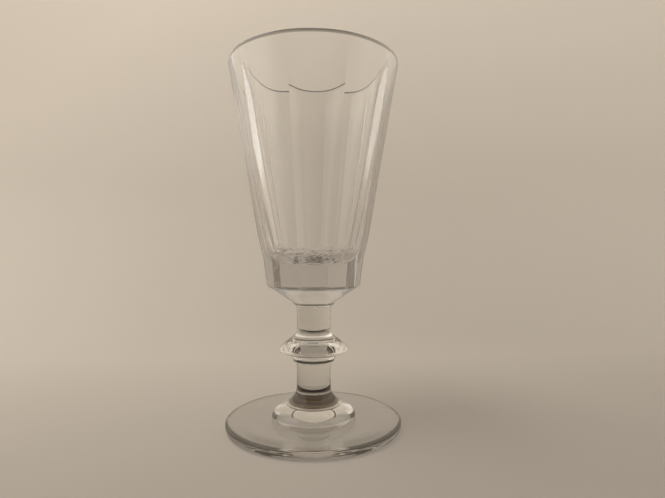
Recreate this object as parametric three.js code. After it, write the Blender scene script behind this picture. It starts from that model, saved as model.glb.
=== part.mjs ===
// A port glass: a cone-shaped bowl cut with ten flat panels, on a short stem with a bladed knop and a
// round foot. Millimetres, +Z up, with the origin in the middle of the face that the glass stands on.
// The pieces stack on the axis and meet at flat round faces, where the hot glass was joined.

import * as THREE from 'three';
import { mergeVertices } from 'three/addons/utils/BufferGeometryUtils.js';

// Foot: a disc that is a little hollow underneath, with a low rounded boss in the middle
const footRadius = 29;
const footHeight = 7.3; // up to the collar's seat
const footRestInset = 1.2; // from the widest edge in to the flat ring that the glass stands on
const footRestWidth = 6.3; // of that ring, which runs round the hollow ground under the foot
const footHollowDepth = 0.35;
const footHollowFlatness = 0.7; // share of the hollow's radius that is nearly level
const footEdgeHeight = 2; // where the disc is widest
const footShoulderInset = 1.6; // from the widest edge in to where the round edge meets the disc's top
const footShoulderHeight = 3;
const bossRadius = 13.9;
const bossBaseHeight = 3.8;
const bossBulgeInset = 0.6; // these two pull the boss's side out into a round shoulder
const bossBulgeHeight = 6.1;

// Collar: a hollow-sided cone that spreads the stem onto the foot
const collarHeight = 5.2;
const collarFootRadius = 9.1;
const collarFootRound = 0.3;
const collarFlareHeight = 1.6; // the side leaves the foot towards this height
const collarThroatHeight = 3.2; // and is upright above this one

// Stem: two drums, above and below the knop, drawn in a little at the middle
const lowerStemHeight = 8.4;
const upperStemHeight = 9.6;
const stemRadius = 5.75; // at both ends of each drum
const stemWaistInset = 0.12;
const stemLipFlare = 1.05; // how far the thin ring under the bowl stands out
const stemLipThickness = 0.75;
const stemLipRound = 0.25;
const stemLipFillet = 1.6; // height of the curve that leads out to the ring

// Knop: a low ring at its foot, a cone that widens to a thin blade, and a sloping shoulder
const knopHeight = 10.4;
const knopFootHeight = 0.45; // the curve from the drum runs out level at this height
const knopFootFlare = 0.55; // and this far out from the stem
const knopRingFlare = 1.25; // how far the ring, the cone's top and the shoulder stand out
const knopRingHeight = 1.1;
const knopNeckFlare = 2;
const knopNeckHeight = 2.7;
const knopBladeRadius = 11.75;
const knopBladeHeight = 4.6;
const knopBladeRound = 0.65;
const knopShoulderFlare = 2.25;
const knopShoulderHeight = 8;
const knopThroatFlare = 0.6; // these two bend the shoulder up into the stem
const knopThroatHeight = 8.9;

// Bowl: a plain cone underneath, a solid block and a thin wall outside a round cavity
const bowlHeight = 79.1;
const bowlSeatOverhang = 0.2; // beyond the stem's ring
const undersideHeight = 5.7; // the plain cone below the panels
const rimRadius = 28.2;
const rimWall = 2;
const panelCount = 10;
const panelFootRadius = 15.6; // on the ridges between panels, as are the next two
const blockTopRadius = 16.8;
const blockTopHeight = 15.1;
const sideStartHeight = 27.1; // above this the sides are straight
const sideStartRadius = 19.4;
const fadeStartDrop = 18; // from the rim down to where the panels begin to fade into the round rim
const rimFlatness = 0.2; // share of the panels' flatness that is left just under the rim
const cavityFloorHeight = 12.6;
const cavityFootRadius = 12.8; // where the rounded floor meets the inner wall
const cavityFootHeight = 19.6;
const cavityBendHeight = 47.6; // the inner wall follows the sides above this and narrows below it
const cavityFloorFlatness = 0.75; // shares of the cavity's foot radius that shape the rounded floor
const cavityCornerFullness = 0.92;

// How finely the round shapes are cut into facets
const facetsAroundWide = 60; // the bowl and the foot
const facetsAroundStem = 40;
const facetsAlongCurve = 5;

const collarBase = footHeight;
const lowerStemBase = collarBase + collarHeight;
const knopBase = lowerStemBase + lowerStemHeight;
const upperStemBase = knopBase + knopHeight;
const bowlBase = upperStemBase + upperStemHeight;
const stemLipRadius = stemRadius + stemLipFlare;
const stemWaistPull = stemRadius - 2 * stemWaistInset; // control radius that puts the middle at the waist

// Shared vertices are merged, and the triangles that shrink to a line on the axis are left out.
function closedGeometry(geometry) {
  geometry.deleteAttribute('normal');
  geometry.deleteAttribute('uv');
  const merged = mergeVertices(geometry, 1e-4);
  const corners = merged.index.array;
  const kept = [];
  for (let i = 0; i < corners.length; i += 3) {
    const [a, b, c] = corners.slice(i, i + 3);
    if (a !== b && b !== c && c !== a) kept.push(a, b, c);
  }
  merged.setIndex(kept);
  return merged;
}

// Turns an outline, drawn as radius and height from the axis round to the axis, about +Z.
function turned(outline, facetsAround) {
  const lathe = new THREE.LatheGeometry(outline.getPoints(facetsAlongCurve), facetsAround);
  return closedGeometry(lathe.rotateX(Math.PI / 2));
}

function footGeometry() {
  const restRadius = footRadius - footRestInset;
  const hollowRadius = restRadius - footRestWidth;
  const outline = new THREE.Path();
  outline.moveTo(0, footHollowDepth);
  outline.quadraticCurveTo(hollowRadius * footHollowFlatness, footHollowDepth, hollowRadius, 0);
  outline.lineTo(restRadius, 0);
  outline.quadraticCurveTo(footRadius, 0, footRadius, footEdgeHeight);
  outline.quadraticCurveTo(
    footRadius, footShoulderHeight, footRadius - footShoulderInset, footShoulderHeight,
  );
  outline.lineTo(bossRadius, bossBaseHeight);
  outline.quadraticCurveTo(
    bossRadius - bossBulgeInset, bossBulgeHeight, collarFootRadius, footHeight,
  );
  outline.lineTo(0, footHeight);
  return turned(outline, facetsAroundWide);
}

function collarGeometry() {
  const outline = new THREE.Path();
  outline.moveTo(0, 0);
  outline.lineTo(collarFootRadius - collarFootRound, 0);
  outline.quadraticCurveTo(collarFootRadius, 0, collarFootRadius, collarFootRound);
  outline.bezierCurveTo(
    (collarFootRadius + stemRadius) / 2, collarFlareHeight,
    stemRadius, collarThroatHeight, stemRadius, collarHeight,
  );
  outline.lineTo(0, collarHeight);
  return turned(outline, facetsAroundStem);
}

function lowerStemGeometry() {
  const outline = new THREE.Path();
  outline.moveTo(0, 0);
  outline.lineTo(stemRadius, 0);
  outline.quadraticCurveTo(stemWaistPull, lowerStemHeight / 2, stemRadius, lowerStemHeight);
  outline.lineTo(0, lowerStemHeight);
  return turned(outline, facetsAroundStem);
}

function knopGeometry() {
  const ringRadius = stemRadius + knopRingFlare;
  const neckRadius = stemRadius + knopNeckFlare;
  const outline = new THREE.Path();
  outline.moveTo(0, 0);
  outline.lineTo(stemRadius, 0);
  outline.quadraticCurveTo(stemRadius, knopFootHeight, stemRadius + knopFootFlare, knopFootHeight);
  outline.quadraticCurveTo(ringRadius, knopFootHeight, ringRadius, knopRingHeight);
  outline.lineTo(neckRadius, knopNeckHeight);
  outline.lineTo(knopBladeRadius - knopBladeRound, knopBladeHeight - knopBladeRound);
  outline.absarc(knopBladeRadius - knopBladeRound, knopBladeHeight, knopBladeRound,
    -Math.PI / 2, Math.PI / 4);
  outline.lineTo(stemRadius + knopShoulderFlare, knopShoulderHeight);
  outline.quadraticCurveTo(stemRadius + knopThroatFlare, knopThroatHeight, stemRadius, knopHeight);
  outline.lineTo(0, knopHeight);
  return turned(outline, facetsAroundStem);
}

function upperStemGeometry() {
  const lipFoot = upperStemHeight - stemLipThickness;
  const drumTop = lipFoot - stemLipFillet;
  const outline = new THREE.Path();
  outline.moveTo(0, 0);
  outline.lineTo(stemRadius, 0);
  outline.quadraticCurveTo(stemWaistPull, drumTop / 2, stemRadius, drumTop);
  outline.quadraticCurveTo(stemRadius, lipFoot, stemLipRadius - stemLipRound, lipFoot);
  outline.quadraticCurveTo(stemLipRadius, lipFoot, stemLipRadius, lipFoot + stemLipRound);
  outline.lineTo(stemLipRadius, upperStemHeight);
  outline.lineTo(0, upperStemHeight);
  return turned(outline, facetsAroundStem);
}

// The wheel leaves ten flat panels on the round bowl. Each point of the outline is drawn in towards its
// panel by its share of flatness. The panel's foot slides down the sloping underside as far, by its
// share of droop, so that the plain cone below the panels keeps its slope.
function cutPanels(lathe, outline, flatness, droop) {
  const underSlope = undersideHeight / (panelFootRadius - stemLipRadius - bowlSeatOverhang);
  const half = Math.PI / panelCount;
  const places = lathe.attributes.position;
  for (let column = 0; column <= facetsAroundWide; column++) {
    const turn = (2 * Math.PI * column) / facetsAroundWide;
    const offMiddle = ((turn + half) % (2 * half)) - half;
    const inset = 1 - Math.cos(half) / Math.cos(offMiddle);
    outline.forEach((point, row) => {
      const radius = point.x * (1 - flatness[row] * inset);
      const height = point.y - droop[row] * inset * panelFootRadius * underSlope;
      places.setXYZ(column * outline.length + row,
        radius * Math.sin(turn), height, radius * Math.cos(turn));
    });
  }
}

function bowlGeometry() {
  const rimRound = rimWall / 2;
  const crownRadius = rimRadius - rimRound;
  const rimFoot = bowlHeight - rimRound;
  const slope = (rimRadius - sideStartRadius) / (rimFoot - sideStartHeight);
  const fadeStart = bowlHeight - fadeStartDrop;
  const easeRadius = (blockTopRadius + sideStartRadius) / 2;

  const outside = new THREE.Path();
  outside.moveTo(0, 0);
  outside.lineTo(stemLipRadius + bowlSeatOverhang, 0);
  outside.lineTo(panelFootRadius, undersideHeight);
  outside.lineTo(blockTopRadius, blockTopHeight);
  outside.quadraticCurveTo(
    easeRadius, sideStartHeight - (sideStartRadius - easeRadius) / slope,
    sideStartRadius, sideStartHeight,
  );
  for (let step = 0; step <= 2 * facetsAlongCurve; step++) {
    const height = THREE.MathUtils.lerp(fadeStart, rimFoot, step / (2 * facetsAlongCurve));
    outside.lineTo(sideStartRadius + (height - sideStartHeight) * slope, height);
  }
  outside.absarc(crownRadius, rimFoot, rimRound, 0, Math.PI / 2);

  const inside = new THREE.Path();
  inside.absarc(crownRadius, rimFoot, rimRound, Math.PI / 2, Math.PI);
  inside.quadraticCurveTo(
    crownRadius - rimRound - (rimFoot - cavityBendHeight) * slope, cavityBendHeight,
    cavityFootRadius, cavityFootHeight,
  );
  inside.bezierCurveTo(
    cavityFootRadius * cavityCornerFullness, (cavityFloorHeight + cavityFootHeight) / 2,
    cavityFootRadius * cavityFloorFlatness, cavityFloorHeight, 0, cavityFloorHeight,
  );

  const outer = outside.getPoints(facetsAlongCurve);
  const inner = inside.getPoints(facetsAlongCurve).slice(1);
  const outline = [...outer, ...inner];
  const flatness = outline.map((point, row) => {
    if (row >= outer.length || point.y < undersideHeight) return 0;
    const faded = THREE.MathUtils.smoothstep(point.y, fadeStart, rimFoot);
    const roundedOff = Math.min((point.x - crownRadius) / rimRound, 1);
    if (point.y > rimFoot) return rimFlatness * roundedOff;
    return 1 + (rimFlatness - 1) * faded;
  });
  const droop = outline.map((point, row) => {
    if (flatness[row] < 1) return 0;
    return Math.max(blockTopHeight - point.y, 0) / (blockTopHeight - undersideHeight);
  });
  const lathe = new THREE.LatheGeometry(outline, facetsAroundWide);
  cutPanels(lathe, outline, flatness, droop);
  return closedGeometry(lathe.rotateX(Math.PI / 2));
}

// Clear glass with a slight warm grey in its thick parts
function glassMaterial(tint) {
  return new THREE.MeshStandardMaterial({
    color: tint, roughness: 0.04, metalness: 0, transparent: true, opacity: 0.35,
  });
}

function piece(name, geometry, base, tint) {
  const mesh = new THREE.Mesh(geometry, glassMaterial(tint));
  mesh.name = name;
  mesh.position.z = base;
  return mesh;
}

const glass = new THREE.Group();
glass.add(piece('foot', footGeometry(), 0, 0xcfc9b8));
glass.add(piece('collar', collarGeometry(), collarBase, 0xb9b3a0));
glass.add(piece('lower_stem', lowerStemGeometry(), lowerStemBase, 0xcfc9b8));
glass.add(piece('knop', knopGeometry(), knopBase, 0xd6d1c2));
glass.add(piece('upper_stem', upperStemGeometry(), upperStemBase, 0xcfc9b8));
glass.add(piece('bowl', bowlGeometry(), bowlBase, 0xdcd7c9));

export default glass;
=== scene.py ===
import math

import bpy
from mathutils import Matrix, Vector


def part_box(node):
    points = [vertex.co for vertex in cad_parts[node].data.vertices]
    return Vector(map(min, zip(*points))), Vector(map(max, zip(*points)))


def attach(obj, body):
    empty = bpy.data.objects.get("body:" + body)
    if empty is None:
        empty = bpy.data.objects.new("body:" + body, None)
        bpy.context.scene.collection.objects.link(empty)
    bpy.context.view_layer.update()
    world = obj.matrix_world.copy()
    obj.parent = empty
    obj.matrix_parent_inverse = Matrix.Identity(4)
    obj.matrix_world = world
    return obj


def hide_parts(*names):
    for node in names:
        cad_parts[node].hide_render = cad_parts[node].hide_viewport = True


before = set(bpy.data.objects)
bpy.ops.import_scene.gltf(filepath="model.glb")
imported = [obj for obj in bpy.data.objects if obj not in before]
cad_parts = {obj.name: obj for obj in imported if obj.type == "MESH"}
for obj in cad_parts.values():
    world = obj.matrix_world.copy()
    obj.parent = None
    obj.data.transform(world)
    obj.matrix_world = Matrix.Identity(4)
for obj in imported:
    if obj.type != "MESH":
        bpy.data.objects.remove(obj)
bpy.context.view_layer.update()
mm = 0.001
print("frame loaded")


def linearColour(code, alpha=1.0):
    # an sRGB hex colour, as linear red, green, blue and alpha
    parts = [int(code[i:i + 2], 16) / 255 for i in (1, 3, 5)]
    return [c / 12.92 if c <= 0.04045 else ((c + 0.055) / 1.055) ** 2.4 for c in parts] + [alpha]


def addNode(tree, kind, inputs=None, **settings):
    # one node: its settings, then each input as a plain value or as a link from another node
    node = tree.nodes.new(kind)
    for name, value in settings.items():
        setattr(node, name, value)
    for name, value in (inputs or {}).items():
        if isinstance(value, bpy.types.Node):
            value = value.outputs[0]
        if isinstance(value, bpy.types.NodeSocket):
            tree.links.new(value, node.inputs[name])
        else:
            node.inputs[name].default_value = value
    return node


def bezier(points, steps):
    # points along a quadratic or cubic curve, without its first point
    found = []
    for i in range(1, steps + 1):
        t, row = i / steps, [Vector(p) for p in points]
        while len(row) > 1:
            row = [a.lerp(b, t) for a, b in zip(row, row[1:])]
        found.append(tuple(row[0]))
    return found


def arc(centre, radius, start, end, steps):
    # points on a circle from one angle to another, both in degrees
    angles = [math.radians(start + (end - start) * i / steps) for i in range(steps + 1)]
    return [(centre[0] + radius * math.cos(a), centre[1] + radius * math.sin(a)) for a in angles]


def evenly(a, b, steps):
    # points along a straight line, without its first point
    return [tuple(Vector(a).lerp(Vector(b), i / steps)) for i in range(1, steps + 1)]


# Clear soda glass, as it comes from the pot. Light paths that still run about inside after many turns
# end in a painted glow with the tone of the whole room. Where the surface turns away from the eye, and in
# narrow bands at the rim's crown, the block's lower edge, the lip, the ring and the foot's side, the tint is
# painted darker: a painted dark reflection standing in for the dark parts of a room that real glass bends
# into view there.
potGlass = {
    # the dark colour is painted into the tint as a painted dark reflection
    "ior": 1.52, "turns": 3.5, "crossings": 7.5, "paintedDark": "#2A2620", "bandSoftness": 0.5, "bandCore": 0.7,
    "restHeight": 0.04, "clearHeight": 0.1, "scuffSize": 1.5,
}


def makeGlass(name, ripple, rippleSize, stretch, tint, room, slant, bands, wear=0, depth=None, density=0,
              marks=None):
    # slant is where the tint is painted darker as the surface turns away, from 0 facing the eye to 1 along
    # it;
    # a band of painted dark reflection is its height, half its width, its least distance from the axis and
    # how dark it gets
    # room is the colour of the painted glow that the glass gives off where light is held inside
    material = bpy.data.materials.new(name)
    material.use_nodes = True
    tree = material.node_tree
    tree.nodes.clear()
    place = addNode(tree, "ShaderNodeTexCoord").outputs["Object"]
    height = addNode(tree, "ShaderNodeSeparateXYZ", {"Vector": place}).outputs["Z"]
    across = addNode(tree, "ShaderNodeVectorMath", {0: place, 1: (1, 1, 0)}, operation="MULTIPLY")
    away = addNode(tree, "ShaderNodeVectorMath", {0: across}, operation="LENGTH").outputs["Value"]

    # gentle ripples, drawn out along the height
    drawn = addNode(tree, "ShaderNodeVectorMath", {0: place, 1: (1, 1, 1 / stretch)}, operation="MULTIPLY")
    wave = addNode(tree, "ShaderNodeTexNoise", {
        "Vector": drawn, "Scale": 1 / (rippleSize * mm), "Detail": 1.0})
    bump = addNode(tree, "ShaderNodeBump", {
        "Height": wave.outputs["Fac"], "Distance": ripple * mm, "Strength": 1.0})

    # light that has turned or crossed too often counts as held inside, and the glass shows a painted glow
    # there
    ray = addNode(tree, "ShaderNodeLightPath").outputs
    turned = addNode(tree, "ShaderNodeMath", {
        0: ray["Glossy Depth"], 1: potGlass["turns"]}, operation="GREATER_THAN")
    crossed = addNode(tree, "ShaderNodeMath", {
        0: ray["Transparent Depth"], 1: potGlass["crossings"]}, operation="GREATER_THAN")
    paintedTrappedGlow = addNode(tree, "ShaderNodeMath", {0: turned, 1: crossed}, operation="MAXIMUM")

    # fine scuffs where the foot has rubbed on shelves and tables
    resting = addNode(tree, "ShaderNodeMapRange", {
        "Value": height, "From Min": potGlass["restHeight"] * mm, "From Max": potGlass["clearHeight"] * mm,
        "To Min": 1.0, "To Max": 0.0})
    scuffs = addNode(tree, "ShaderNodeTexNoise", {
        "Vector": place, "Scale": 1 / (potGlass["scuffSize"] * mm), "Detail": 4.0})
    rubbed = addNode(tree, "ShaderNodeMath", {0: scuffs.outputs["Fac"], 1: wear}, operation="MULTIPLY")
    worn = addNode(tree, "ShaderNodeMath", {0: resting, 1: rubbed}, operation="MULTIPLY")

    # the tool that pressed the cavity's floor left small flat dents, which sparkle
    if marks:
        within = addNode(tree, "ShaderNodeMath", {0: away, 1: marks["radius"] * mm}, operation="LESS_THAN")
        above = addNode(tree, "ShaderNodeMath", {0: height, 1: marks["floor"] * mm}, operation="GREATER_THAN")
        below = addNode(tree, "ShaderNodeMapRange", {
            "Value": height, "From Min": marks["fade"] * mm, "From Max": marks["top"] * mm,
            "To Min": 1.0, "To Max": 0.0})
        floorward = addNode(tree, "ShaderNodeMath", {0: above, 1: below}, operation="MULTIPLY")
        strength = addNode(tree, "ShaderNodeMath", {0: within, 1: floorward}, operation="MULTIPLY")
        flattened = addNode(tree, "ShaderNodeVectorMath", {
            0: place, 1: (1, 1, marks["flatness"])}, operation="MULTIPLY")
        dents = addNode(tree, "ShaderNodeTexNoise", {
            "Vector": flattened, "Scale": 1 / (marks["size"] * mm), "Detail": 2.0})
        bump = addNode(tree, "ShaderNodeBump", {
            "Height": dents.outputs["Fac"], "Distance": marks["depth"] * mm, "Strength": strength,
            "Normal": bump})

    # the darker tint: painted dark reflections where the surface turns away, and in the bands
    facing = addNode(tree, "ShaderNodeLayerWeight").outputs["Facing"]
    slanting = addNode(tree, "ShaderNodeMapRange", {
        "Value": facing, "From Min": slant[0], "From Max": slant[1]}, interpolation_type="SMOOTHSTEP")
    paintedDarkened = slanting
    for centre, half, inner, share in bands:
        offset = addNode(tree, "ShaderNodeMath", {0: height, 1: centre * mm}, operation="SUBTRACT")
        apart = addNode(tree, "ShaderNodeMath", {0: offset}, operation="ABSOLUTE")
        inHeight = addNode(tree, "ShaderNodeMapRange", {
            "Value": apart, "From Min": half * mm, "From Max": potGlass["bandCore"] * half * mm,
            "To Max": share})
        inRadius = addNode(tree, "ShaderNodeMapRange", {
            "Value": away, "From Min": (inner - potGlass["bandSoftness"]) * mm,
            "From Max": (inner + potGlass["bandSoftness"]) * mm})
        inBand = addNode(tree, "ShaderNodeMath", {0: inHeight, 1: inRadius}, operation="MULTIPLY")
        paintedDarkened = addNode(tree, "ShaderNodeMath", {0: paintedDarkened, 1: inBand}, operation="MAXIMUM")
    # the glass's own tint, painted darker by the share above
    body = addNode(tree, "ShaderNodeMix", {
        0: paintedDarkened, 6: linearColour(tint), 7: linearColour(potGlass["paintedDark"])}, data_type="RGBA").outputs[2]

    # where a path counts as held inside, the glass glows in its room tone: a painted glow, not a lamp
    glass = addNode(tree, "ShaderNodeBsdfPrincipled", {
        "Base Color": body, "Roughness": worn, "IOR": potGlass["ior"], "Transmission Weight": 1.0,
        "Normal": bump, "Emission Color": linearColour(room), "Emission Strength": paintedTrappedGlow})
    output = addNode(tree, "ShaderNodeOutputMaterial", {"Surface": glass})
    if density:
        mass = addNode(tree, "ShaderNodeVolumeAbsorption", {
            "Color": linearColour(depth), "Density": density})
        tree.links.new(mass.outputs[0], output.inputs["Volume"])
    return material


def makeFusedJoint(name, paintedShade, paintedShadeRadius, clearRadius):
    # the two sides of a hot joint are one glass, so nothing bends or mirrors there; a painted grey shade,
    # a dark sheet where there is only shade, can stay in its middle, grey from above and clear from below
    material = bpy.data.materials.new(name)
    material.use_nodes = True
    tree = material.node_tree
    tree.nodes.clear()
    place = addNode(tree, "ShaderNodeTexCoord").outputs["Object"]
    across = addNode(tree, "ShaderNodeVectorMath", {0: place, 1: (1, 1, 0)}, operation="MULTIPLY")
    away = addNode(tree, "ShaderNodeVectorMath", {0: across}, operation="LENGTH").outputs["Value"]
    # painted shade: inside this radius the joint is grey when seen from above and clear from below
    clear = addNode(tree, "ShaderNodeMapRange", {
        "Value": away, "From Min": paintedShadeRadius * mm, "From Max": clearRadius * mm},
        interpolation_type="SMOOTHSTEP")
    back = addNode(tree, "ShaderNodeNewGeometry").outputs["Backfacing"]
    under = addNode(tree, "ShaderNodeMath", {0: 1.0, 1: back}, operation="SUBTRACT")
    share = addNode(tree, "ShaderNodeMath", {0: clear, 1: under}, operation="MAXIMUM")
    colour = addNode(tree, "ShaderNodeMix", {
        0: share, 6: linearColour(paintedShade), 7: linearColour("#FFFFFF")}, data_type="RGBA").outputs[2]
    joint = addNode(tree, "ShaderNodeBsdfTransparent", {"Color": colour})
    addNode(tree, "ShaderNodeOutputMaterial", {"Surface": joint})
    return material


# The bowl: cut flat and polished, with ripples drawn down the wall, a faint grey in its mass and painted
# dark bands at the rim's crown and the block's lower edge
cutGlass = makeGlass(
    "cutGlass", ripple=0.012, rippleSize=5, stretch=5, tint="#FFFFFF", room="#8E8376",
    depth="#F2F2F2", density=90,
    slant=(0.6, 0.97), bands=[(120, 0.8, 1, 0.75), (46.2, 0.6, 13.5, 0.6)],
    marks={"size": 1.8, "depth": 0.8, "floor": 53.3, "fade": 57, "top": 61, "radius": 14, "flatness": 1.8})
# The stem: formed hot with tools, and the smoothest; a touch greyer, with painted dark lines at lip and ring
stemGlass = makeGlass(
    "stemGlass", ripple=0.006, rippleSize=6, stretch=1, tint="#ECEBE8", room="#A3988A",
    slant=(0.6, 0.97), bands=[(40.6, 0.45, 5.9, 0.85), (22.2, 0.55, 6.2, 0.97)])
# The foot: spun flat while hot, painted dark round its side, and rubbed matt where it rests
footGlass = makeGlass(
    "footGlass", ripple=0.01, rippleSize=12, stretch=1, tint="#FBFBF9", room="#3C362E",
    slant=(0.85, 1), bands=[(1.3, 1.8, 28.1, 0.5)], wear=0.12)
# The joints: clean ones, and the collar's, with its painted grey shade
fusedJoint = makeFusedJoint("fusedJoint", "#FFFFFF", 1, 2)
paintedShadeJoint = makeFusedJoint("paintedShadeJoint", "#82776A", 7.2, 8.8)
print("glass made")


def outlineMesh(name, points, marks):
    # an outline as a chain of points, radius along X and height along Z, with a number for each point
    mesh = bpy.data.meshes.new(name)
    mesh.from_pydata([(r * mm, 0, h * mm) for r, h in points],
                     [(i, i + 1) for i in range(len(points) - 1)], [])
    for title in ("joint", "flatness", "droop"):
        numbers = mesh.attributes.new(title, "FLOAT", "POINT")
        for row, value in marks.get(title, {}).items():
            numbers.data[row % len(points)].value = value
    piece = bpy.data.objects.new(name, mesh)
    bpy.context.scene.collection.objects.link(piece)
    return piece


def buildTurnedTree():
    # turns an outline round the Z axis; where flatness is above 0 the wall is drawn in to flat panels
    tree = bpy.data.node_groups.new("turnedGlass", "GeometryNodeTree")
    tree.interface.new_socket("Geometry", in_out="OUTPUT", socket_type="NodeSocketGeometry")
    for title, kind in (("Geometry", "Geometry"), ("Facets around", "Int"), ("Sharp edge", "Float"),
                        ("Panels", "Int"), ("Panel foot radius", "Float"), ("Underside slope", "Float"),
                        ("Glass", "Material"), ("Fused joint", "Material")):
        tree.interface.new_socket(title, in_out="INPUT", socket_type=f"NodeSocket{kind}")
    given = addNode(tree, "NodeGroupInput").outputs
    math2 = "ShaderNodeMath"

    # a grid with one row for each outline point, and what each vertex reads from its row
    counted = addNode(tree, "GeometryNodeAttributeDomainSize", {"Geometry": given["Geometry"]})
    columns = addNode(tree, math2, {0: given["Facets around"], 1: 1}, operation="ADD")
    grid = addNode(tree, "GeometryNodeMeshGrid", {"Vertices X": counted, "Vertices Y": columns})
    index = addNode(tree, "GeometryNodeInputIndex")
    rowShare = addNode(tree, math2, {0: index, 1: columns}, operation="DIVIDE")
    row = addNode(tree, math2, {0: rowShare}, operation="FLOOR")
    column = addNode(tree, math2, {0: index, 1: columns}, operation="FLOORED_MODULO")
    turn = addNode(tree, math2, {0: column, 1: given["Facets around"]}, operation="DIVIDE")
    azimuth = addNode(tree, math2, {0: turn, 1: 2 * math.pi}, operation="MULTIPLY")
    read = {}
    for title in ("position", "joint", "flatness", "droop"):
        kind = "FLOAT_VECTOR" if title == "position" else "FLOAT"
        named = addNode(tree, "GeometryNodeInputNamedAttribute", {"Name": title}, data_type=kind)
        read[title] = addNode(tree, "GeometryNodeSampleIndex", {
            "Geometry": given["Geometry"], "Value": named, "Index": row}, data_type=kind)
    outline = addNode(tree, "ShaderNodeSeparateXYZ", {"Vector": read["position"]}).outputs

    # how far a flat panel lies inside the round wall at this azimuth, as a share of the radius
    half = addNode(tree, math2, {0: math.pi, 1: given["Panels"]}, operation="DIVIDE")
    pitch = addNode(tree, math2, {0: half, 1: 2}, operation="MULTIPLY")
    ahead = addNode(tree, math2, {0: azimuth, 1: half}, operation="ADD")
    within = addNode(tree, math2, {0: ahead, 1: pitch}, operation="FLOORED_MODULO")
    offMiddle = addNode(tree, math2, {0: within, 1: half}, operation="SUBTRACT")
    across = addNode(tree, math2, {0: half}, operation="COSINE")
    facing = addNode(tree, math2, {0: offMiddle}, operation="COSINE")
    share = addNode(tree, math2, {0: across, 1: facing}, operation="DIVIDE")
    inset = addNode(tree, math2, {0: 1, 1: share}, operation="SUBTRACT")

    # the wall is drawn in, and the panel's foot slides down the sloping underside as far
    pulled = addNode(tree, math2, {0: inset, 1: read["flatness"]}, operation="MULTIPLY")
    kept = addNode(tree, math2, {0: 1, 1: pulled}, operation="SUBTRACT")
    radius = addNode(tree, math2, {0: outline["X"], 1: kept}, operation="MULTIPLY")
    footInset = addNode(tree, math2, {0: inset, 1: given["Panel foot radius"]}, operation="MULTIPLY")
    footDrop = addNode(tree, math2, {0: footInset, 1: given["Underside slope"]}, operation="MULTIPLY")
    drop = addNode(tree, math2, {0: footDrop, 1: read["droop"]}, operation="MULTIPLY")
    height = addNode(tree, math2, {0: outline["Z"], 1: drop}, operation="SUBTRACT")

    # every vertex goes to its place, then the seam and the poles are closed
    sine = addNode(tree, math2, {0: azimuth}, operation="SINE")
    cosine = addNode(tree, math2, {0: azimuth}, operation="COSINE")
    x = addNode(tree, math2, {0: radius, 1: sine}, operation="MULTIPLY")
    inwards = addNode(tree, math2, {0: radius, 1: cosine}, operation="MULTIPLY")
    y = addNode(tree, math2, {0: inwards, 1: -1}, operation="MULTIPLY")
    place = addNode(tree, "ShaderNodeCombineXYZ", {"X": x, "Y": y, "Z": height})
    marked = addNode(tree, "GeometryNodeStoreNamedAttribute", {
        "Geometry": grid, "Name": "joint", "Value": read["joint"]}, data_type="FLOAT", domain="POINT")
    bent = addNode(tree, "GeometryNodeSetPosition", {"Geometry": marked, "Position": place})
    closed = addNode(tree, "GeometryNodeMergeByDistance", {"Geometry": bent, "Distance": 1e-6})
    outward = addNode(tree, "GeometryNodeFlipFaces", {"Mesh": closed})
    smooth = addNode(tree, "GeometryNodeSetShadeSmooth", {"Geometry": outward, "Shade Smooth": True})
    angle = addNode(tree, "GeometryNodeInputMeshEdgeAngle")
    isSharp = addNode(tree, math2, {0: angle, 1: given["Sharp edge"]}, operation="GREATER_THAN")
    creased = addNode(tree, "GeometryNodeSetShadeSmooth", {
        "Geometry": smooth, "Selection": isSharp, "Shade Smooth": False}, domain="EDGE")
    solid = addNode(tree, "GeometryNodeRealizeInstances", {"Geometry": creased})
    glazed = addNode(tree, "GeometryNodeSetMaterial", {"Geometry": solid, "Material": given["Glass"]})
    named = addNode(tree, "GeometryNodeInputNamedAttribute", {"Name": "joint"}, data_type="FLOAT")
    inJoint = addNode(tree, math2, {0: named, 1: 0.999}, operation="GREATER_THAN")
    joined = addNode(tree, "GeometryNodeSetMaterial", {
        "Geometry": glazed, "Selection": inJoint, "Material": given["Fused joint"]})
    addNode(tree, "NodeGroupOutput", {"Geometry": joined})
    return tree


turnedTree = buildTurnedTree()
print("turning tree built")


def finishPiece(piece, settings, node):
    # runs the tree on the outline, keeps the plain mesh and sets it in the CAD node's place
    modifier = piece.modifiers.new("turned", "NODES")
    modifier.node_group = turnedTree
    for item in turnedTree.interface.items_tree:
        if item.item_type == "SOCKET" and item.in_out == "INPUT" and item.name in settings:
            modifier[item.identifier] = settings[item.name]
    bpy.context.view_layer.update()
    evaluated = piece.evaluated_get(bpy.context.evaluated_depsgraph_get())
    mesh = bpy.data.meshes.new_from_object(evaluated)
    piece.modifiers.remove(modifier)
    piece.data = mesh
    mesh.materials.pop(index=0)
    mesh.transform(Matrix.Translation((0, 0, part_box(node)[0].z)))
    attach(piece, "root")
    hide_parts(node)
    print(node, len(mesh.polygons), "faces")


bottomDisc = {0: 1.0, 1: 1.0}
topDisc = {-2: 1.0, -1: 1.0}
common = {"Facets around": 160, "Sharp edge": math.radians(14), "Panels": 10, "Fused joint": fusedJoint}

foot = {
    "radius": 29, "height": 7.3, "restInset": 1.2, "restWidth": 6.3, "hollowDepth": 0.35,
    "hollowFlatness": 0.7, "edgeHeight": 2, "shoulderInset": 1.6, "shoulderHeight": 3,
    "bossRadius": 13.9, "bossBaseHeight": 3.8, "bossBulgeRadius": 13.3, "bossBulgeHeight": 6.1,
}


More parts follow.
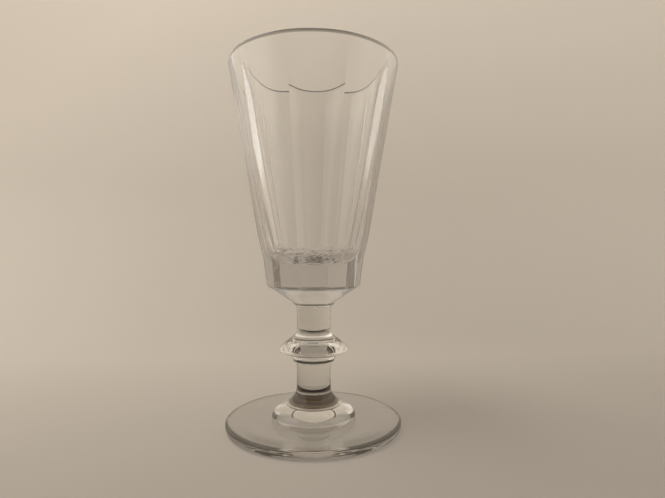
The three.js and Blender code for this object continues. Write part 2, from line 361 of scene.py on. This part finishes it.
def makeFoot(f, above):
    rest = f["radius"] - f["restInset"]
    hollow = rest - f["restWidth"]
    shoulder = (f["radius"] - f["shoulderInset"], f["shoulderHeight"])
    points = [(0, f["hollowDepth"])]
    points += bezier([points[-1], (hollow * f["hollowFlatness"], f["hollowDepth"]), (hollow, 0)], 10)
    points += evenly(points[-1], (rest, 0), 3)
    points += bezier([points[-1], (f["radius"], 0), (f["radius"], f["edgeHeight"])], 8)
    points += bezier([points[-1], (f["radius"], f["shoulderHeight"]), shoulder], 8)
    points += evenly(points[-1], (f["bossRadius"], f["bossBaseHeight"]), 8)
    points += bezier([points[-1], (f["bossBulgeRadius"], f["bossBulgeHeight"]),
                      (above["footRadius"], f["height"])], 14)
    points += [(above["footRadius"] - above["footRound"], f["height"]), (0, f["height"])]
    piece = outlineMesh("footPiece", points, {"joint": topDisc})
    finishPiece(piece, {**common, "Glass": footGlass}, "foot")


collar = {
    "height": 5.2, "footRadius": 9.1, "footRound": 0.3, "flareHeight": 1.6, "throatHeight": 3.2,
}


def makeCollar(c, s):
    points = [(0, 0), (c["footRadius"] - c["footRound"], 0)]
    points += bezier([points[-1], (c["footRadius"], 0), (c["footRadius"], c["footRound"])], 6)
    flare = ((c["footRadius"] + s["radius"]) / 2, c["flareHeight"])
    throat = (s["radius"], c["throatHeight"])
    points += bezier([points[-1], flare, throat, (s["radius"], c["height"])], 20)
    points += [(0, c["height"])]
    piece = outlineMesh("collarPiece", points, {"joint": {**bottomDisc, **topDisc}})
    finishPiece(piece, {**common, "Glass": stemGlass, "Fused joint": paintedShadeJoint}, "collar")


stem = {
    "radius": 5.75, "waistInset": 0.12, "lowerHeight": 8.4, "upperHeight": 9.6, "lipFillet": 1.6,
    "lipRadius": 6.8, "lipThickness": 0.75, "lipRound": 0.25,
}


def makeLowerStem(s):
    waist = (s["radius"] - 2 * s["waistInset"], s["lowerHeight"] / 2)
    points = [(0, 0), (s["radius"], 0)]
    points += bezier([points[-1], waist, (s["radius"], s["lowerHeight"])], 14)
    points += [(0, s["lowerHeight"])]
    piece = outlineMesh("lowerStemPiece", points, {"joint": {**bottomDisc, **topDisc}})
    finishPiece(piece, {**common, "Glass": stemGlass}, "lower_stem")


knop = {
    "height": 10.4, "ringFoot": 0.45, "ringRadius": 7.0, "ringHeight": 1.1, "ringRound": 0.7,
    "ringLean": 0.1, "neckRadius": 7.75, "neckHeight": 2.7, "bladeRadius": 11.75, "bladeHeight": 4.6,
    "bladeRound": 0.65, "bladeStart": -75, "bladeEnd": 50, "underOut": 0.3, "underUp": 0.45,
    "shoulderRadius": 8.0, "shoulderHeight": 8.0, "throatHeight": 8.9, "throatFlare": 0.6,
}


def makeKnop(k, s):
    centre = (k["bladeRadius"] - k["bladeRound"], k["bladeHeight"])
    points = [(0, 0), (s["radius"], 0)]
    ringUnder = (k["ringRadius"] - k["ringRound"], k["ringFoot"])
    ringCorner = (k["ringRadius"] - k["ringLean"], k["ringFoot"])
    points += bezier([points[-1], (s["radius"], k["ringFoot"]), ringUnder], 6)
    points += bezier([points[-1], ringCorner, (k["ringRadius"], k["ringHeight"])], 8)
    points += evenly(points[-1], (k["neckRadius"], k["neckHeight"]), 4)
    blade = arc(centre, k["bladeRound"], k["bladeStart"], k["bladeEnd"], 16)
    under = (k["neckRadius"] + k["underOut"], k["neckHeight"] + k["underUp"])
    points += bezier([points[-1], under, blade[0]], 8)
    points += blade[1:]
    points += evenly(points[-1], (k["shoulderRadius"], k["shoulderHeight"]), 8)
    throat = (s["radius"] + k["throatFlare"], k["throatHeight"])
    points += bezier([points[-1], throat, (s["radius"], k["height"])], 16)
    points += [(0, k["height"])]
    piece = outlineMesh("knopPiece", points, {"joint": {**bottomDisc, **topDisc}})
    finishPiece(piece, {**common, "Glass": stemGlass}, "knop")


def makeUpperStem(s):
    lipFoot = s["upperHeight"] - s["lipThickness"]
    drumTop = lipFoot - s["lipFillet"]
    waist = (s["radius"] - 2 * s["waistInset"], drumTop / 2)
    points = [(0, 0), (s["radius"], 0)]
    points += bezier([points[-1], waist, (s["radius"], drumTop)], 14)
    points += bezier([points[-1], (s["radius"], lipFoot), (s["lipRadius"] - s["lipRound"], lipFoot)], 10)
    points += bezier([points[-1], (s["lipRadius"], lipFoot), (s["lipRadius"], lipFoot + s["lipRound"])], 4)
    points += [(s["lipRadius"], s["upperHeight"]), (0, s["upperHeight"])]
    piece = outlineMesh("upperStemPiece", points, {"joint": {**bottomDisc, **topDisc}})
    finishPiece(piece, {**common, "Glass": stemGlass}, "upper_stem")


bowl = {
    "height": 79.1, "seatOverhang": 0.2, "undersideHeight": 5.7, "rimRadius": 28.2, "rimWall": 2.0,
    "panels": 10, "panelFootRadius": 15.6, "blockTopRadius": 16.8, "blockTopHeight": 15.1,
    "sideStartHeight": 27.1, "sideStartRadius": 19.4, "fadeStartDrop": 18, "rimFlatness": 0.2,
    "cavityFloorHeight": 12.6, "cavityFootRadius": 12.8, "cavityFootHeight": 19.6,
    "wallBendHeight": 47.6, "floorFlatness": 0.75, "cornerFullness": 0.92,
}


def makeBowl(b, s):
    lip = s["lipRadius"]
    seat = lip + b["seatOverhang"]
    rimRound = b["rimWall"] / 2
    rimFoot = b["height"] - rimRound
    slope = (b["rimRadius"] - b["sideStartRadius"]) / (rimFoot - b["sideStartHeight"])
    fadeStart = b["height"] - b["fadeStartDrop"]
    flatness, droop = {}, {}
    points = [(0, 0), (lip, 0), (seat, 0)]
    points += evenly(points[-1], (b["panelFootRadius"], b["undersideHeight"]), 6)
    wallStart = len(points) - 1
    points += evenly(points[-1], (b["blockTopRadius"], b["blockTopHeight"]), 6)
    for i in range(wallStart, len(points)):
        droop[i] = (b["blockTopHeight"] - points[i][1]) / (b["blockTopHeight"] - b["undersideHeight"])
    easeRadius = (b["blockTopRadius"] + b["sideStartRadius"]) / 2
    easeHeight = b["sideStartHeight"] - (b["sideStartRadius"] - easeRadius) / slope
    points += bezier([points[-1], (easeRadius, easeHeight), (b["sideStartRadius"], b["sideStartHeight"])], 8)
    fadeRadius = b["rimRadius"] - (rimFoot - fadeStart) * slope
    points += evenly(points[-1], (fadeRadius, fadeStart), 16)
    points += evenly(points[-1], (b["rimRadius"], rimFoot), 24)
    wallEnd = len(points) - 1
    points += arc((b["rimRadius"] - rimRound, rimFoot), rimRound, 0, 180, 16)[1:]
    for i in range(wallStart, wallEnd + 1):
        faded = min(max((points[i][1] - fadeStart) / (rimFoot - fadeStart), 0), 1)
        flatness[i] = 1 + (b["rimFlatness"] - 1) * faded * faded * (3 - 2 * faded)
    for i in range(wallEnd + 1, wallEnd + 9):
        flatness[i] = b["rimFlatness"] * (points[i][0] - b["rimRadius"] + rimRound) / rimRound
    innerRim = points[-1]
    wallBend = (innerRim[0] - (innerRim[1] - b["wallBendHeight"]) * slope, b["wallBendHeight"])
    points += bezier([innerRim, wallBend, (b["cavityFootRadius"], b["cavityFootHeight"])], 32)
    cornerHeight = (b["cavityFloorHeight"] + b["cavityFootHeight"]) / 2
    corner = (b["cavityFootRadius"] * b["cornerFullness"], cornerHeight)
    floorEdge = (b["cavityFootRadius"] * b["floorFlatness"], b["cavityFloorHeight"])
    points += bezier([points[-1], corner, floorEdge, (0, b["cavityFloorHeight"])], 24)
    piece = outlineMesh("bowlPiece", points, {"joint": bottomDisc, "flatness": flatness, "droop": droop})
    finishPiece(piece, {
        **common, "Glass": cutGlass, "Panels": b["panels"], "Panel foot radius": b["panelFootRadius"] * mm,
        "Underside slope": b["undersideHeight"] / (b["panelFootRadius"] - seat)}, "bowl")


makeFoot(foot, collar)
makeCollar(collar, stem)
makeLowerStem(stem)
makeKnop(knop, stem)
makeUpperStem(stem)
makeBowl(bowl, stem)
print("glass pieces made")

# A round paper sweep: a level floor that curves up into a wall all round, with light and shade painted on
# it. Painted bright patches at the two sides, seen only in light that the glass has mirrored, show in the
# glass as bright streaks, a painted reflection; painted shade in front gives the glass dark edges. A
# painted shadow, a dark spot, lies under the foot's middle.
sweep = {
    "floorRadius": 200, "bend": 120, "wallHeight": 560, "sink": 0.05, "glow": 0.6,
    "high": "#DCD0BF", "low": "#A0968A", "side": "#FAF3E8", "front": "#6A6056", "shadow": "#1E1A16",
    "shadowInner": 4.5, "shadowOuter": 8.5,
}
# Where the painted light and shade lie, in metres: the plain tone is painted paler upwards, to the left and
# outwards, and painted dimmer near the eye; the side patches have an inner edge, a slanting top, a foot and
# a weaker right side
tones = {
    "base": 0.4, "upwards": 1.5, "rightwards": -0.9, "outwards": 3.0, "nearStart": -0.06, "nearEnd": 0.1,
    "nearDrop": -0.3, "patchInner": 0.11, "patchOuter": 0.21, "patchTilt": -0.6, "patchLean": 0.1,
    "patchTopClear": 0.19, "patchTopFull": 0.15, "patchFootClear": 0.02, "patchFootFull": 0.06,
    "leftEdge": -0.1, "rightEdge": 0.1, "rightShare": 0.5, "frontFull": -0.25, "frontClear": -0.1,
}


def makeSweep(s, t):
    turns = 96
    outline = [(0, 0)] + evenly((0, 0), (s["floorRadius"], 0), 6)
    outline += arc((s["floorRadius"], s["bend"]), s["bend"], -90, 0, 14)[1:]
    outline += evenly(outline[-1], (s["floorRadius"] + s["bend"], s["bend"] + s["wallHeight"]), 4)
    vertices, faces = [(0, 0, -s["sink"] * mm)], []
    for radius, height in outline[1:]:
        for i in range(turns):
            a = 2 * math.pi * i / turns
            level = (height - s["sink"]) * mm
            vertices.append((radius * mm * math.sin(a), -radius * mm * math.cos(a), level))
    for i in range(turns):
        j = (i + 1) % turns
        faces.append((0, 1 + i, 1 + j))
        for row in range(len(outline) - 2):
            low, high = 1 + row * turns, 1 + (row + 1) * turns
            faces.append((low + i, high + i, high + j, low + j))
    mesh = bpy.data.meshes.new("sweep")
    mesh.from_pydata(vertices, [], faces)
    mesh.shade_smooth()
    material = bpy.data.materials.new("paperWithPaintedLight")
    material.use_nodes = True
    tree = material.node_tree
    tree.nodes.clear()
    place = addNode(tree, "ShaderNodeTexCoord").outputs["Object"]
    split = addNode(tree, "ShaderNodeSeparateXYZ", {"Vector": place}).outputs
    multiplyAdd = "MULTIPLY_ADD"
    # painted light: the paper's tone is painted paler upwards, leftwards and outwards, and dimmer near the
    # eye
    rise = addNode(tree, "ShaderNodeMath", {
        0: split["Z"], 1: t["upwards"], 2: t["base"]}, operation=multiplyAdd)
    leftwards = addNode(tree, "ShaderNodeMath", {
        0: split["X"], 1: t["rightwards"], 2: rise}, operation=multiplyAdd)
    squared = addNode(tree, "ShaderNodeMath", {0: split["X"], 1: split["X"]}, operation="MULTIPLY")
    paler = addNode(tree, "ShaderNodeMath", {
        0: squared, 1: t["outwards"], 2: leftwards}, operation=multiplyAdd)
    nearer = addNode(tree, "ShaderNodeMapRange", {
        "Value": split["Y"], "From Min": t["nearStart"], "From Max": t["nearEnd"],
        "To Min": t["nearDrop"], "To Max": 0.0})
    amount = addNode(tree, "ShaderNodeMath", {0: paler, 1: nearer}, operation="ADD", use_clamp=True)
    tone = addNode(tree, "ShaderNodeMix", {
        0: amount, 6: linearColour(s["low"]), 7: linearColour(s["high"])}, data_type="RGBA").outputs[2]
    # painted reflection: bright patches at the sides, seen only in light the glass has mirrored, show in it
    # as bright streaks
    apart = addNode(tree, "ShaderNodeMath", {0: split["X"]}, operation="ABSOLUTE")
    outer = addNode(tree, "ShaderNodeMapRange", {
        "Value": apart, "From Min": t["patchInner"], "From Max": t["patchOuter"]},
        interpolation_type="SMOOTHSTEP")
    lower = addNode(tree, "ShaderNodeMath", {
        0: split["Z"], 1: t["patchTilt"], 2: split["Y"]}, operation=multiplyAdd)
    askew = addNode(tree, "ShaderNodeMath", {
        0: split["X"], 1: t["patchLean"], 2: lower}, operation=multiplyAdd)
    topped = addNode(tree, "ShaderNodeMapRange", {
        "Value": askew, "From Min": t["patchTopClear"], "From Max": t["patchTopFull"]},
        interpolation_type="SMOOTHSTEP")
    raised = addNode(tree, "ShaderNodeMapRange", {
        "Value": split["Z"], "From Min": t["patchFootClear"], "From Max": t["patchFootFull"]},
        interpolation_type="SMOOTHSTEP")
    lateral = addNode(tree, "ShaderNodeMath", {0: outer, 1: topped}, operation="MULTIPLY")
    leftMost = addNode(tree, "ShaderNodeMapRange", {
        "Value": split["X"], "From Min": t["leftEdge"], "From Max": t["rightEdge"],
        "To Min": 1.0, "To Max": t["rightShare"]})
    left = addNode(tree, "ShaderNodeMath", {0: lateral, 1: leftMost}, operation="MULTIPLY")
    patch = addNode(tree, "ShaderNodeMath", {0: left, 1: raised}, operation="MULTIPLY")
    ray = addNode(tree, "ShaderNodeLightPath").outputs
    mirrored = addNode(tree, "ShaderNodeMath", {0: ray["Glossy Depth"], 1: 0.5}, operation="GREATER_THAN")
    beside = addNode(tree, "ShaderNodeMath", {0: patch, 1: mirrored}, operation="MULTIPLY")
    sides = addNode(tree, "ShaderNodeMix", {
        0: beside, 6: tone, 7: linearColour(s["side"])}, data_type="RGBA").outputs[2]
    # painted shade: the paper in front is painted darker, and the glass shows it as dark edges
    behind = addNode(tree, "ShaderNodeMapRange", {
        "Value": split["Y"], "From Min": t["frontFull"], "From Max": t["frontClear"]},
        interpolation_type="SMOOTHSTEP")
    around = addNode(tree, "ShaderNodeMix", {
        0: behind, 6: linearColour(s["front"]), 7: sides}, data_type="RGBA").outputs[2]
    # painted shadow: a dark spot on the floor under the foot's middle
    away = addNode(tree, "ShaderNodeVectorMath", {0: place}, operation="LENGTH")
    lit = addNode(tree, "ShaderNodeMapRange", {
        "Value": away.outputs["Value"], "From Min": s["shadowInner"] * mm, "From Max": s["shadowOuter"] * mm},
        interpolation_type="SMOOTHSTEP")
    around = addNode(tree, "ShaderNodeMix", {
        0: lit, 6: linearColour(s["shadow"]), 7: around}, data_type="RGBA").outputs[2]
    matt = addNode(tree, "ShaderNodeBsdfDiffuse", {"Color": around})
    seen = addNode(tree, "ShaderNodeMath", {
        0: ray["Is Camera Ray"], 1: ray["Is Glossy Ray"]}, operation="MAXIMUM")
    seenThrough = addNode(tree, "ShaderNodeMath", {
        0: seen, 1: ray["Is Transmission Ray"]}, operation="MAXIMUM")
    glow = addNode(tree, "ShaderNodeEmission", {"Color": around, "Strength": 1.0})
    share = addNode(tree, "ShaderNodeMath", {0: seenThrough, 1: s["glow"]}, operation="MULTIPLY")
    paper = addNode(tree, "ShaderNodeMixShader", {0: share, 1: matt, 2: glow})
    addNode(tree, "ShaderNodeOutputMaterial", {"Surface": paper})
    mesh.materials.append(material)
    floor = bpy.data.objects.new("sweep", mesh)
    bpy.context.scene.collection.objects.link(floor)


makeSweep(sweep, tones)

# One soft lamp above the left shoulder for the floor's shadow, and an evenly pale room
light = {"place": (-0.25, -0.05, 0.6), "aim": (0, 0, 0.06), "size": 0.3, "power": 3.6,
         "room": "#F2F0EC", "roomStrength": 0.55}
lamp = bpy.data.lights.new("key", "AREA")
lamp.shape = "SQUARE"
lamp.size = light["size"]
lamp.energy = light["power"]
holder = bpy.data.objects.new("key", lamp)
holder.location = light["place"]
holder.rotation_euler = (Vector(light["aim"]) - holder.location).to_track_quat("-Z", "Y").to_euler()
holder.visible_glossy = False
holder.visible_transmission = False
bpy.context.scene.collection.objects.link(holder)

world = bpy.data.worlds.new("room")
world.use_nodes = True
room = world.node_tree.nodes["Background"].inputs
room["Color"].default_value = linearColour(light["room"])
room["Strength"].default_value = light["roomStrength"]
bpy.context.scene.world = world
print("stage and lamps set")

# The camera looks level at the glass from half its height, as the photograph was taken
eye = {"place": (-5.8, -160.5, 58.6), "pitch": 90, "turn": -4.3, "lens": 25.98, "sensor": 36, "clip": 5}
camera = bpy.data.cameras.new("camera")
camera.sensor_width = eye["sensor"]
camera.lens = eye["lens"]
camera.clip_start = eye["clip"] * mm
viewer = bpy.data.objects.new("camera", camera)
viewer.location = Vector(eye["place"]) * mm
viewer.rotation_euler = (math.radians(eye["pitch"]), 0, math.radians(eye["turn"]))
bpy.context.scene.collection.objects.link(viewer)
bpy.context.scene.camera = viewer

bpy.context.scene.view_settings.view_transform = "Standard"
